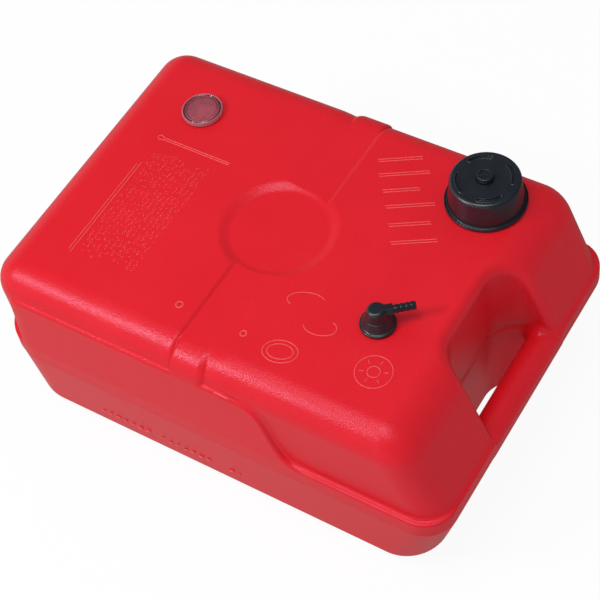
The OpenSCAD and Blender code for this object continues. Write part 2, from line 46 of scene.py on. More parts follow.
azimuth, elevation, roll = math.radians(40.4), math.radians(53.5), math.radians(-11.5)
aim = Vector((-0.011, 0, 0.0876))
distance = 1.732
back = Vector((
    math.sin(azimuth) * math.cos(elevation),
    -math.cos(azimuth) * math.cos(elevation),
    math.sin(elevation)))
right = Vector((math.cos(azimuth), math.sin(azimuth), 0))
up = back.cross(right)
camera = bpy.data.objects.new("camera", bpy.data.cameras.new("camera"))
bpy.context.scene.collection.objects.link(camera)
camera.matrix_world = Matrix.Translation(aim + distance * back) @ Matrix((
    math.cos(roll) * right + math.sin(roll) * up,
    math.cos(roll) * up - math.sin(roll) * right,
    back)).transposed().to_4x4()
camera.data.lens = 102.1
camera.data.shift_x = 0.0105
camera.data.shift_y = 0.0027
bpy.context.scene.camera = camera
bpy.context.scene.view_settings.view_transform = "Standard"


class Tone:
    """One output of a shader node. Sums and products of it add Math nodes."""

    def __init__(self, tree, socket):
        self.tree = tree
        self.socket = socket

    def node(self, kind, settings=None, inputs=(), output=0):
        made = self.tree.nodes.new(kind)
        for name, value in (settings or {}).items():
            setattr(made, name, value)
        pairs = inputs.items() if isinstance(inputs, dict) else enumerate(inputs)
        for name, value in pairs:
            if isinstance(value, Tone):
                self.tree.links.new(value.socket, made.inputs[name])
            else:
                made.inputs[name].default_value = value
        return Tone(self.tree, made.outputs[output])

    def math(self, operation, *values):
        return self.node("ShaderNodeMath", {"operation": operation}, values)

    def __add__(self, other):
        return self.math("ADD", self, other)

    def __sub__(self, other):
        return self.math("SUBTRACT", self, other)

    def __rsub__(self, other):
        return self.math("SUBTRACT", other, self)

    def __mul__(self, other):
        return self.math("MULTIPLY", self, other)

    def __truediv__(self, other):
        return self.math("DIVIDE", self, other)

    def __rtruediv__(self, other):
        return self.math("DIVIDE", other, self)

    __radd__ = __add__
    __rmul__ = __mul__


def passage(value, low, high, first=0.0, last=1.0):
    """The first level up to low, the last from high on, and a soft passage between."""
    return value.node("ShaderNodeMapRange", {"interpolation_type": "SMOOTHSTEP"}, {
        "Value": value, "From Min": low, "From Max": high, "To Min": first, "To Max": last})


def towards(place, direction):
    """How far a place or a ray goes in a direction."""
    return place.node(
        "ShaderNodeVectorMath", {"operation": "DOT_PRODUCT"}, [place, direction], output="Value")


def lamp(name, place, target, size, power):
    light = bpy.data.objects.new(name, bpy.data.lights.new(name, "AREA"))
    light.data.shape = "RECTANGLE"
    light.data.size, light.data.size_y = size
    light.data.energy = power
    facing = (Vector(place) - Vector(target)).to_track_quat("Z", "Y")
    light.matrix_world = Matrix.Translation(place) @ facing.to_matrix().to_4x4()
    bpy.context.scene.collection.objects.link(light)


lamp("key_light", (-1.0, -1.3, 1.6), (0, 0, 0.1), (0.45, 0.24), 16)
lamp("top_light", (-0.1, -0.5, 2.15), (0, 0, 0.1), (0.8, 0.8), 11)
lamp("fill_light", (0.4, -0.5, 2.15), (0.1, 0, 0.1), (0.8, 0.8), 5)

# The surround is white to the camera and through the clear pieces, and lights the tank softly.
# Mirror-like rays find it dim, apart from a glow low down at the near left.
SOFT_LEVEL = 0.52
DIM_LEVEL = 0.10
world = bpy.data.worlds.new("surround")
bpy.context.scene.world = world
world.use_nodes = True
start = Tone(world.node_tree, None)
seen = start.node("ShaderNodeLightPath", output="Is Camera Ray")
mirrored = start.node("ShaderNodeLightPath", output="Is Glossy Ray")
through = start.node("ShaderNodeLightPath", output="Is Transmission Ray")
way = start.node("ShaderNodeTexCoord", output="Generated")
height = start.node("ShaderNodeSeparateXYZ", inputs=[way], output="Z")
low_down = passage(height, 0.05, 0.70, 0.75, 0.0)
near_left = passage(towards(way, (-0.75, -0.65, 0)), -0.3, 0.7)
glossy = DIM_LEVEL + low_down * near_left
unseen = through + (1 - through) * (mirrored * glossy + (1 - mirrored) * SOFT_LEVEL)
level = seen + (1 - seen) * unseen
backdrop = world.node_tree.nodes["Background"]
world.node_tree.links.new(level.socket, backdrop.inputs["Strength"])
backdrop.inputs["Color"].default_value = (1, 1, 1, 1)

# The floor keeps a faint shadow before the camera. Mirror-like rays find it grey, and paler
# towards the near left.
FLOOR_REACH = 9
floor_mesh = bpy.data.meshes.new("floor")
floor_mesh.from_pydata(
    [(FLOOR_REACH * x, FLOOR_REACH * y, 0) for x, y in ((-1, -1), (1, -1), (1, 1), (-1, 1))],
    [], [(0, 1, 2, 3)])
floor = bpy.data.objects.new("floor", floor_mesh)
floor.location.z = -0.0005
bpy.context.scene.collection.objects.link(floor)
paper = bpy.data.materials.new("white_paper")
paper.use_nodes = True
start = Tone(paper.node_tree, None)
matt = start.node("ShaderNodeBsdfDiffuse", inputs={"Color": (0.9, 0.9, 0.9, 1)})
shown = start.node("ShaderNodeLightPath", output="Is Camera Ray")
echoed = start.node("ShaderNodeLightPath", output="Is Glossy Ray")
spot = start.node("ShaderNodeTexCoord", output="Object")
bounce = passage(towards(spot, (-0.8, -0.6, 0)), -0.45, 0.25, 0.14, 0.42)
glow = start.node("ShaderNodeEmission", inputs={
    "Color": (1, 1, 1, 1), "Strength": 1 - echoed + echoed * bounce})
sheet = start.node("ShaderNodeMixShader", inputs=[shown * 0.93 + echoed * 0.95, matt, glow])
paper.node_tree.links.new(sheet.socket, paper.node_tree.nodes["Material Output"].inputs["Surface"])
floor_mesh.materials.append(paper)


# ---- The tank shell ---------------------------------------------------------------------
# One blow-moulded skin of red polyethylene, about 3.5 mm thick, with softened edges: a belt
# at the parting line, side panels with an S-curve, a strap channel, a dish and a hand pocket
# with a grip across it.

BORE = (152.0, 116.0)
OUTLET = (130.5, -56.0)
GAUGE = (-160.0, 94.5)
HOLES = ((BORE, 26), (OUTLET, 11.4), (GAUGE, 18))
WALL = 3.5
END, REAR, SIDE, CROWN = 255, -254.98, 179.98, 209
REAR_CORNER, END_CORNER = 48, 33
PARTING, BELT_TOP, UPPER_FOOT = 92, 112, 106
CURVE_AT, CURVE_RUN, CURVE_RISE, CURVE_SLOPE = 76.5, 6.5, 71, 10.9
PANEL_REAR, PANEL_LEAN, PANEL_HEIGHT = 222, 4, 69
STRAP_TOP, STRAP_HALF, STRAP_DEPTH = 206.5, 20, 2.5
DISH_AT, DISH_FLAT, DISH_RIM, DISH_DEPTH = -11, 47, 61, 4.6
POCKET_AT, POCKET_HALF, POCKET_SPREAD = 193.5, 63, 4
GRIP_AT, GRIP_HEIGHT, GRIP_RADIUS, GRIP_HALF = 239.8, 98, 16.5, 72
SOFT_EDGE = 3.4


def rounded_plan(x, y, rear, end, half, rear_corner, end_corner):
    """A plan with two corner radii, from the rear to the end and to half the width each way."""
    corner = np.where(x > 0, end_corner, rear_corner)
    x = np.abs(x - (end + rear) / 2) - (end - rear) / 2 + corner
    y = np.abs(y) - half + corner
    return np.hypot(np.maximum(x, 0), np.maximum(y, 0)) + np.minimum(np.maximum(x, y), 0) - corner


def within(a, b, edge):
    """Inside both forms, with a rounded edge where they meet."""
    corner = np.hypot(np.maximum(a + edge, 0), np.maximum(b + edge, 0))
    return np.minimum(np.maximum(a, b), -edge) + corner


def joined(a, b, fillet):
    """Either form, with a fillet between them."""
    corner = np.hypot(np.maximum(fillet - a, 0), np.maximum(fillet - b, 0))
    return np.maximum(np.minimum(a, b), fillet) - corner


def ease(v, low, high):
    """0 up to low, 1 from high on, and a soft rise between."""
    v = np.clip((v - low) / (high - low), 0, 1)
    return v * v * (3 - 2 * v)


def shell_outside(x, y, z):
    # The belt, and the body below it, which narrows towards its foot.
    down = np.clip((PARTING - z) / PARTING, 0, 1)
    seam = 0.4 * (z < PARTING)
    lower = rounded_plan(
        x, y, -END + 8 * down + seam, END - 28 * down - seam, SIDE - 8 * down - seam,
        REAR_CORNER - 4 * down, END_CORNER + 11 * down)
    lower = within(within(lower, -z, 16), z - BELT_TOP, 2.4)

    # The side panels, whose upper edge falls to the belt in an S-curve.
    fall = 1 / (1 + np.exp((x - CURVE_AT) / CURVE_RUN))
    steepness = np.hypot(1, CURVE_SLOPE * fall * (1 - fall))
    panel = within((z - BELT_TOP - CURVE_RISE * fall) / steepness, -PANEL_REAR - x, 13)
    lean = PANEL_LEAN * np.clip((z - BELT_TOP) / PANEL_HEIGHT, 0, 1)
    panel = within(
        rounded_plan(x, y, REAR, END, SIDE - lean, REAR_CORNER, END_CORNER),
        np.maximum(panel, 100 - z), SOFT_EDGE)

    # The upper body, with the strap channel and the dish sunk in its crown.
    rise = np.clip((z - BELT_TOP) / (CROWN - BELT_TOP), -0.3, 1.1)
    sides = rounded_plan(
        x, y, -248.5 + 1.5 * rise, 252 - 37 * rise, 173.5 - 1.5 * rise,
        41.5 - 11.5 * rise, 32 - 2 * rise)
    turned = np.where(y < 0, 1, -1)
    off = (x + 6 - 0.013 * y) * turned
    strap_dip = STRAP_DEPTH * ease(off, -24.5, -19.5) * (1 - ease(off, 8, 34))
    dish_dip = DISH_DEPTH * (1 - ease(np.hypot(x - DISH_AT, y), DISH_FLAT, DISH_RIM))
    upper = within(sides, z - CROWN + np.maximum(strap_dip, dish_dip), 30)
    band = within(np.abs(y) - SIDE + lean, z - STRAP_TOP + dish_dip, 28)
    strap = np.maximum(within(-off - STRAP_HALF, band, 2), within(off - STRAP_HALF, band, 12))
    form = joined(np.minimum(lower, panel), np.maximum(upper, UPPER_FOOT - z), SOFT_EDGE)
    form = np.minimum(form, np.maximum(strap, UPPER_FOOT - z))

    # The hand pocket, wider towards its foot, and the grip across it.
    hollow = ease(PARTING - z, -30, PARTING)
    pocket = within(
        POCKET_AT - POCKET_SPREAD * hollow - x, np.abs(y) - POCKET_HALF,
        30 + POCKET_SPREAD * hollow)
    form = within(form, -pocket, 11)
    grip = np.hypot(x - GRIP_AT, z - GRIP_HEIGHT) - GRIP_RADIUS
    grip = np.maximum(grip, np.abs(y) - GRIP_HALF)
    return np.maximum(joined(form, grip, 11 - 10 * ease(x, 234, 248)), x - END)


def shell_form(x, y, z):
    outside = shell_outside(x, y, z)
    form = np.maximum(outside, -WALL - outside)
    for (cx, cy), radius in HOLES:
        form = np.maximum(form, np.minimum(radius - np.hypot(x - cx, y - cy), z - 150))
    return form


def moulded(name, form, box, step, faces):
    """A mesh of form(x, y, z) = 0, in millimetres, with the form's own normals."""
    low, high = box
    x, y, z = (np.arange(a, b + step, step, dtype=np.float32) for a, b in zip(low, high))
    block = form(x[:, None, None], y[None, :, None], z[None, None, :])
    reach = 3 * step
    block = np.clip(block, -reach, reach).astype(np.float32)
    grid = openvdb.FloatGrid(reach)
    grid.copyFromArray(block)
    points, threes, fours = grid.convertToPolygons(0.0, 0.0)
    points = points * step + np.array(low)
    mesh = bpy.data.meshes.new(name)
    mesh.from_pydata(points, [], [tuple(f) for f in threes] + [tuple(f) for f in fours])
    mesh.validate()
    piece = bpy.data.objects.new(name, mesh)
    bpy.context.scene.collection.objects.link(piece)
    triangles = len(threes) + 2 * len(fours)
    if triangles > faces:
        thin = piece.modifiers.new("thin", "DECIMATE")
        thin.ratio = faces / triangles
        evaluated = piece.evaluated_get(bpy.context.evaluated_depsgraph_get())
        piece.data = bpy.data.meshes.new_from_object(evaluated)
        piece.modifiers.remove(thin)
        bpy.data.meshes.remove(mesh)
        mesh = piece.data
        mesh.name = name
    spots = np.empty(len(mesh.vertices) * 3, np.float32)
    mesh.vertices.foreach_get("co", spots)
    spots = spots.reshape(-1, 3).astype(float)
    nudges = 0.4 * step * np.eye(3)
    lean = np.stack([form(*(spots + n).T) - form(*(spots - n).T) for n in nudges], axis=1)
    lean /= np.maximum(np.linalg.norm(lean, axis=1, keepdims=True), 1e-9)
    first = mesh.polygons[0]
    outward = sum((Vector(lean[v]) for v in first.vertices), Vector())
    mesh.vertices.foreach_set("co", (spots / 1000).astype(np.float32).ravel())
    mesh.update()
    if first.normal.dot(outward) < 0:
        mesh.flip_normals()
    mesh.shade_smooth()
    mesh.normals_split_custom_set_from_vertices(lean)
    return piece


shell = moulded("tank_shell", shell_form, ((-259, -184, -4), (259, 184, 213)), 1.6, 185000)


def finish_of(name, settings, dress):
    """A material: fixed values on the shader's sockets, and dress() for what varies."""
    material = bpy.data.materials.new(name)
    material.use_nodes = True
    tree = material.node_tree
    shader = tree.nodes["Principled BSDF"]
    for socket, value in settings.items():
        shader.inputs[socket].default_value = value
    place = Tone(tree, None).node("ShaderNodeTexCoord", output="Object")
    for socket, value in dress(place).items():
        tree.links.new(value.socket, shader.inputs[socket])
    return material


def noise(place, scale, detail, **more):
    return place.node("ShaderNodeTexNoise", inputs={
        "Vector": place, "Scale": scale, "Detail": detail, **more})


def pitted(place, scale, smoothness):
    return place.node("ShaderNodeTexVoronoi", {"feature": "SMOOTH_F1"}, {
        "Vector": place, "Scale": scale, "Smoothness": smoothness})


def relief(height, strength, distance, **more):
    return height.node("ShaderNodeBump", inputs={
        "Strength": strength, "Distance": distance, "Height": height, **more})


def shade(amount, first, second):
    """The first colour where the amount is 0, and the second where it is 1."""
    return amount.node("ShaderNodeMix", {"data_type": "RGBA"}, {
        0: amount, 6: (*first, 1), 7: (*second, 1)}, output=2)


def red_skin(place):
    grain = noise(place, 620.0, 3.0, Roughness=0.6)
    pores = pitted(place, 780.0, 0.7)
    waves = noise(place, 9.0, 2.0)
    cloud = noise(place, 14.0, 4.0)
    x, y, z = (place.node("ShaderNodeSeparateXYZ", inputs=[place], output=axis) for axis in "XYZ")
    in_pocket = place.math("GREATER_THAN", x, 0.185)
    in_pocket = in_pocket * place.math("LESS_THAN", place.math("ABSOLUTE", y), 0.075)
    off_parting = place.math("ABSOLUTE", z - PARTING / 1000)
    parting_line = place.math("MAXIMUM", 1 - off_parting / 0.0009, 0.0) * (1 - in_pocket)
    fine = relief(grain * 0.6 + pores * 0.7 + parting_line * 2.0, 0.75, 0.00035)
    return {
        "Base Color": shade(cloud, (0.66, 0.0085, 0.0165), (0.74, 0.0105, 0.0190)),
        "Roughness": 0.25 + cloud * 0.12,
        "Normal": relief(waves, 0.25, 0.003, Normal=fine)}


red = finish_of("red_polyethylene", {
    "Specular IOR Level": 0.4, "Specular Tint": (0.92, 0.72, 1.0, 1)}, red_skin)
shell.data.materials.append(red)
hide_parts("tank_body")
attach(shell, "tank")


# ---- Marks in the moulding --------------------------------------------------------------
# Fine raised lines, rings, pips and bars that the mould leaves on the top and the near wall,
# in the same red polyethylene as the shell, coloured a paler, pinker red as a painted highlight.

TOP = 208.95
WHEEL = (152.5, -103)


def new_tree(name, inputs):
    """An empty tree with its named inputs, and the sockets that they give."""
    tree = bpy.data.node_groups.new(name, "GeometryNodeTree")
    for label, kind in inputs.items():
        tree.interface.new_socket(label, in_out="INPUT", socket_type="NodeSocket" + kind)
    tree.interface.new_socket("Mesh", in_out="OUTPUT", socket_type="NodeSocketGeometry")
    return tree, tree.nodes.new("NodeGroupInput").outputs


def end_tree(tree, shapes, material):
    """The end of a tree: one real mesh with smooth faces and its material."""
    real = tree.nodes.new("GeometryNodeRealizeInstances")
    smooth = tree.nodes.new("GeometryNodeSetShadeSmooth")
    paint = tree.nodes.new("GeometryNodeSetMaterial")
    put = tree.nodes.new("NodeGroupOutput")
    for a, b in ((shapes, real.inputs[0]), (real.outputs[0], smooth.inputs[0]),
                 (smooth.outputs[0], paint.inputs["Geometry"]),
                 (material, paint.inputs["Material"]), (paint.outputs[0], put.inputs["Mesh"])):
        tree.links.new(a, b)
    return tree


def lines_tree():
    tree, given = new_tree("raised_lines", {
        "Lines": "Geometry", "Radius": "Float", "Material": "Material"})
    circle = tree.nodes.new("GeometryNodeCurvePrimitiveCircle")
    circle.inputs["Resolution"].default_value = 10
    sweep = tree.nodes.new("GeometryNodeCurveToMesh")
    sweep.inputs["Fill Caps"].default_value = True
    for a, b in ((given["Lines"], sweep.inputs["Curve"]),
                 (given["Radius"], circle.inputs["Radius"]),
                 (circle.outputs["Curve"], sweep.inputs["Profile Curve"])):
        tree.links.new(a, b)
    return end_tree(tree, sweep.outputs["Mesh"], given["Material"])


def pips_tree():
    tree, given = new_tree("raised_pips", {
        "Places": "Geometry", "Radius": "Float", "Length": "Float", "Seed": "Int",
        "Material": "Material"})
    ball = tree.nodes.new("GeometryNodeMeshIcoSphere")
    ball.inputs["Subdivisions"].default_value = 2
    size = tree.nodes.new("ShaderNodeCombineXYZ")
    vary = tree.nodes.new("FunctionNodeRandomValue")
    vary.data_type = "FLOAT"
    vary.inputs[2].default_value, vary.inputs[3].default_value = 0.6, 1.15
    grow = tree.nodes.new("ShaderNodeVectorMath")
    grow.operation = "SCALE"
    scatter = tree.nodes.new("GeometryNodeInstanceOnPoints")
    for a, b in ((given["Length"], size.inputs["X"]), (given["Radius"], size.inputs["Y"]),
                 (given["Radius"], size.inputs["Z"]), (given["Seed"], vary.inputs["Seed"]),
                 (size.outputs[0], grow.inputs[0]), (vary.outputs[1], grow.inputs["Scale"]),
                 (given["Places"], scatter.inputs["Points"]),
                 (ball.outputs["Mesh"], scatter.inputs["Instance"]),
                 (grow.outputs[0], scatter.inputs["Scale"])):
        tree.links.new(a, b)
    return end_tree(tree, scatter.outputs[0], given["Material"])


def grown(name, source, tree, values):
    """The plain mesh that a Geometry Nodes tree makes of a curve or mesh, as a new object."""
    holder = bpy.data.objects.new(name + "_source", source)
    bpy.context.scene.collection.objects.link(holder)
    modifier = holder.modifiers.new("grow", "NODES")
    modifier.node_group = tree
    for item in tree.interface.items_tree:
        if item.in_out == "INPUT" and item.name in values:
            modifier[item.identifier] = values[item.name]
    evaluated = holder.evaluated_get(bpy.context.evaluated_depsgraph_get())
    mesh = bpy.data.meshes.new_from_object(evaluated)
    bpy.data.objects.remove(holder)
    piece = bpy.data.objects.new(name, mesh)
    mesh.name = name
    bpy.context.scene.collection.objects.link(piece)
    return piece


def traced(name, paths):
    """A curve through lists of points, in millimetres. One that ends where it begins closes."""
    curve = bpy.data.curves.new(name, "CURVE")
    curve.dimensions = "3D"
    for path in paths:
        closed = np.allclose(path[0], path[-1])
        path = path[:-1] if closed else path
        spline = curve.splines.new("POLY")
        spline.points.add(len(path) - 1)
        points = np.array([(x / 1000, y / 1000, z / 1000, 1) for x, y, z in path])
        spline.points.foreach_set("co", points.ravel())
        spline.use_cyclic_u = closed
    return curve


def dotted(name, places):
    """A mesh of loose points, from places in millimetres."""
    mesh = bpy.data.meshes.new(name)
    mesh.from_pydata(np.array(places) / 1000, [], [])
    return mesh


def ring(x, y, radius, squash=1.0, turn=0.0, start=0.0, sweep=360.0):
    """Points round an ellipse on the top, or round a part of it."""
    points = []
    for a in np.radians(np.linspace(start, start + sweep, 49)):
        u, v = radius * math.cos(a), radius * squash * math.sin(a)
        points.append((
            x + u * math.cos(turn) - v * math.sin(turn),
            y + u * math.sin(turn) + v * math.cos(turn), TOP))
    return points


# The marks' paler, pinker red is a painted highlight, varied by a fine noise.
def painted_highlight_skin(place):
    grain = noise(place, 500.0, 3.0)
    return {
        "Base Color": shade(grain, (0.72, 0.035, 0.045), (0.86, 0.12, 0.13)),
        "Roughness": 0.3 + grain * 0.2}


painted_highlight_red = finish_of("painted_highlight_red", {"Specular IOR Level": 0.4}, painted_highlight_skin)
lines = lines_tree()
pips = pips_tree()

spokes = [
    [(WHEEL[0] + r * math.cos(a), WHEEL[1] + r * math.sin(a), TOP) for r in (9.5, 13.5)]
    for a in np.radians(range(20, 380, 60))]
rounding = [
    (-180.5 - 3.2 * math.sin(a), 47.4 - 2.7 * math.cos(a), TOP)
    for a in np.radians(range(0, 181, 30))]
fine_paths = [
    ring(*WHEEL, 17.5), ring(*WHEEL, 6.0), *spokes,
    [(-97.5, 46.1, TOP), (-176, 46.1, TOP), *rounding, (-176, 48.5, TOP), (-97.5, 48.5, TOP)],
    [(-180, 11, TOP), (-180, -114, TOP)], [(-183.4, 8, TOP), (-183.4, -111, TOP)],
    ring(65, -122, 17, 0.72, 0.25), ring(65, -122, 12.5, 0.66, 0.25),
    ring(57, -62, 18, 0.5, 0.3, 20, 200), ring(84, -82, 16, 0.6, 0.2, 190, 220),
]
for x, y, length in (
        (33, 116, 44), (43, 100, 50), (56, 84, 36), (68, 68, 48), (82, 50, 40), (94, 32, 44)):
    for side in (0, 2.2):
        fine_paths.append([
            (x + side, y - side, TOP),
            (x + side + 0.86 * length, y - side + 0.5 * length, TOP)])
fine = grown("moulded_lines", traced("lines", fine_paths), lines, {
    "Radius": 0.00055, "Material": painted_highlight_red})
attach(fine, "tank")

bead_paths = [
    [(26, -178.8, 192.3), (33, -178.9, 192.2), (41, -179.0, 191.8)],
    ring(-48, -119, 3.4), ring(24, -120, 3.0)]
bead = grown("moulded_beads", traced("beads", bead_paths), lines, {
    "Radius": 0.0008, "Material": painted_highlight_red})
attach(bead, "tank")

dice = np.random.default_rng(4)
pip_places = []
for x in np.arange(-174, -108, 5.6):
    y = -112 + 12 * dice.random()
    while y < 38 - 14 * dice.random():
        pip_places += [
            (x + 3.4 * dice.random() - 1.7, y + 1.6 * dice.random(), TOP - 0.05)
            for _ in range(2)]
        y += 2.1 if dice.random() < 0.8 else 6
stipple = grown("moulded_pips", dotted("pip_places", pip_places), pips, {
    "Radius": 0.00048, "Length": 0.0006, "Seed": 3, "Material": painted_highlight_red})
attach(stipple, "tank")

BAR_STEP = 9.2
bar_places = [
    (x, -175.45, 36.0 + 0.9 * math.sin(x))
    for x in np.arange(-150, 26, BAR_STEP) if int(x / BAR_STEP) % 8]
bars = grown("moulded_bars", dotted("bar_places", bar_places), pips, {
    "Radius": 0.0011, "Length": 0.0028, "Seed": 8, "Material": painted_highlight_red})
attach(bars, "tank")


# ---- The filler neck --------------------------------------------------------------------
# The threaded neck of the same moulding, with a collar at its foot. The cap hides it until
# it is unscrewed.

NECK_RADIUS, NECK_BORE, NECK_TOP = 28, 25, 233.95
COLLAR_RADIUS, COLLAR_TOP = 29.7, 212
PITCH, THREAD_RISE = 5.0, 1.6


def box_round(centre, reach, low, high):
    """The box round an upright axis, from a low to a high level."""
    x, y = centre
    return (x - reach, y - reach, low), (x + reach, y + reach, high)


def neck_form(x, y, z):
    out = np.hypot(x - BORE[0], y - BORE[1])
    turn = np.arctan2(y - BORE[1], x - BORE[0]) / (2 * math.pi)
    flank = np.abs((z / PITCH - turn) % 1 - 0.5) * PITCH
    crest = THREAD_RISE * ease(1.9 - flank, 0, 1.3) * ease(z, 214, 216) * (1 - ease(z, 230, 232))
    tube = within(out - NECK_RADIUS - crest, z - NECK_TOP, 1.0)
    collar = within(out - COLLAR_RADIUS, z - COLLAR_TOP, 0.8)
    tube = joined(tube, collar, 1.0)
    return np.maximum(np.maximum(tube, 203 - z), NECK_BORE - out)


neck = moulded("filler_neck", neck_form, box_round(BORE, 31, 201.5, 235.5), 0.5, 90000)
neck.data.materials.append(red)
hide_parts("tank_body")
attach(neck, "tank")


# ---- The cap ----------------------------------------------------------------------------
# A screw cap of black polypropylene, moulded in one piece with a turned-out flange, a slightly
# coned skirt, four curved grooves in the top and a shallow seat for the vent knob.

GROOVES = np.radians((-53, 37, 127, 217))
GROOVE_RING = 26.8
CAP_TOP, CAP_FOOT = 241.48, 209.32
SKIRT_RADIUS, SKIRT_TAPER = 37.2, 0.105
FLANGE_RADIUS, FLANGE_TOP = 40.25, 213.2


def cap_form(x, y, z):
    x, y = x - BORE[0], y - BORE[1]
    out = np.hypot(x, y)
    skirt = within(out - SKIRT_RADIUS + SKIRT_TAPER * (z - 213), z - CAP_TOP, 3.4)
    flange = within(within(out - FLANGE_RADIUS, z - FLANGE_TOP, 1.1), -(z - CAP_FOOT), 0.8)
    flange = np.maximum(flange, 1.1 - np.hypot(out - 38.5, (z - 213.4) * 0.9))
    body = joined(np.maximum(skirt, 209.4 - z), flange, 0.5)

    # Each groove has a low rim round it.
    angle = np.arctan2(y, x)
    arc = np.min([
        np.abs((angle - a + math.pi) % (2 * math.pi) - math.pi) for a in GROOVES], axis=0)
    along = np.maximum(arc - math.radians(23), 0) * 26.5
    near = np.hypot(out - GROOVE_RING, along)
    body = joined(body, np.maximum(near - 2.5, z - 241.9), 0.4)
    body = within(body, -np.maximum(near - 1.25, 239.9 - z), 0.4)

    # The seat and the bore of the vent, and the room for the neck.
    body = within(body, -np.maximum(out - 8.5, 240.8 - z), 0.3)
    body = np.maximum(body, 3.05 - out)
    return np.maximum(body, -np.maximum(out - 30.4, z - 236.5))


cap = moulded("cap_cover", cap_form, box_round(BORE, 42, 207.8, 243.8), 0.42, 180000)


def black_skin(place):
    grain = noise(place, 1100.0, 2.0)
    pores = pitted(place, 900.0, 0.6)
    wear = noise(place, 60.0, 4.0)
    return {
        "Base Color": shade(wear, (0.005, 0.008, 0.013), (0.010, 0.015, 0.025)),
        "Roughness": 0.24 + wear * 0.16,
        "Normal": relief(grain * 0.5 + pores * 0.6, 0.4, 0.0003)}


black = finish_of("black_polypropylene", {
    "Specular IOR Level": 0.7, "Coat Weight": 0.15, "Coat Roughness": 0.3}, black_skin)
cap.data.materials.append(black)
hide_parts("cap_shell")
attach(cap, "cap")


# ---- The vent screw ---------------------------------------------------------------------
# A small knurled knob with a sunk top and a bar across it, on a stem that goes through the
# cap, with its sealing ring and its spring clip.

KNOB_RADIUS, KNOB_FOOT, KNOB_TOP = 8.1, 242.65, 247.55
STEM_RADIUS, STEM_FOOT = 2.98, 230.85
CLIP_HEIGHT = 232.8


def vent_form(x, y, z):
    x, y = x - BORE[0], y - BORE[1]
    out = np.hypot(x, y)
    flutes = 0.35 * (0.5 + 0.5 * np.cos(np.arctan2(y, x) * 18)) * (z > 243)
    knob = within(within(out - KNOB_RADIUS + flutes, z - KNOB_TOP, 0.9), KNOB_FOOT - z, 0.5)
    sunk = np.maximum(out - 5.6, 246.6 - z)
    sunk = np.maximum(sunk, 0.9 - np.abs(x * 0.6 - y * 0.8))
    knob = within(knob, -sunk, 0.3)
    stem = np.maximum(np.maximum(out - STEM_RADIUS, STEM_FOOT - z), z - 245)
    stem = np.maximum(stem, -np.maximum(2.2 - out, np.abs(z - CLIP_HEIGHT) - 0.5))
    return np.minimum(knob, stem)


vent = moulded("vent_knob", vent_form, box_round(BORE, 9, 230, 248.5), 0.17, 90000)
vent.data.materials.append(black)
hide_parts("vent_screw")
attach(vent, "vent")


def soft_skin(place):
    grain = noise(place, 900.0, 3.0)
    return {"Roughness": 0.55 + grain * 0.2, "Normal": relief(grain, 0.3, 0.0003)}


def metal_skin(place):
    grain = noise(place, 300.0, 4.0)
    return {"Roughness": 0.22 + grain * 0.16, "Normal": relief(grain, 0.15, 0.0002)}


rubber = finish_of("nitrile_rubber", {"Base Color": (0.012, 0.012, 0.013, 1)}, soft_skin)
steel = finish_of("stainless_steel", {
    "Base Color": (0.55, 0.56, 0.58, 1), "Metallic": 1.0}, metal_skin)


def dressed(material, *names):
    """Gives pieces that come from the solids as they are their material."""
    for name in names:
        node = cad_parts[name]
        node.data.materials.clear()
        node.data.materials.append(material)


dressed(rubber, "vent_seal", "cap_gasket")
dressed(steel, "vent_clip")
dressed(black, "cap_liner")


# ---- The hose outlet --------------------------------------------------------------------
# A flanged bell of black nylon pushed through the top, on its gasket. A head with a barbed
# hose tail turns on it, and a tube with a strainer at its foot hangs from it.

BELL_TOP, BELL_TAPER = 222.55, 0.39
SHANK_RADIUS, SHANK_FOOT = 11.1, 191.62
HEAD_TOP, HEAD_FOOT, HEAD_RADIUS = 234.35, 222.92, 11.2
TAIL_HEIGHT, TAIL_END, TAIL_RADIUS, TAIL_BORE = 228.5, 36.45, 3.58, 2.6
TAIL_TURN = math.radians(39)
BARB_STEP, BARB_RISE, BARBS = 4.8, 0.8, 4


def bell_form(x, y, z):
    out = np.hypot(x - OUTLET[0], y - OUTLET[1])
    cone = out - 15.0 + (z - 213.2) * BELL_TAPER
    bell = within(cone / 1.07, z - BELL_TOP, 0.4)
    flange = within(within(out - 17.35, z - 213.1, 0.9), 210.62 - z, 0.5)
    form = joined(np.maximum(bell, 211 - z), flange, 1.2)
    shank = within(out - SHANK_RADIUS, SHANK_FOOT - z, 1.0)
    form = np.minimum(form, np.maximum(shank, z - 212))
    form = np.maximum(form, -np.maximum(out - 6.0, 208.6 - z))
    form = np.maximum(form, 2.6 - out)
    return np.maximum(form, -np.maximum(out - 4.25, z - 201.6))


bell = moulded("outlet_bell", bell_form, box_round(OUTLET, 18.5, 190.5, 224), 0.3, 90000)
bell.data.materials.append(black)
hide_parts("outlet_base")
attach(bell, "tank")


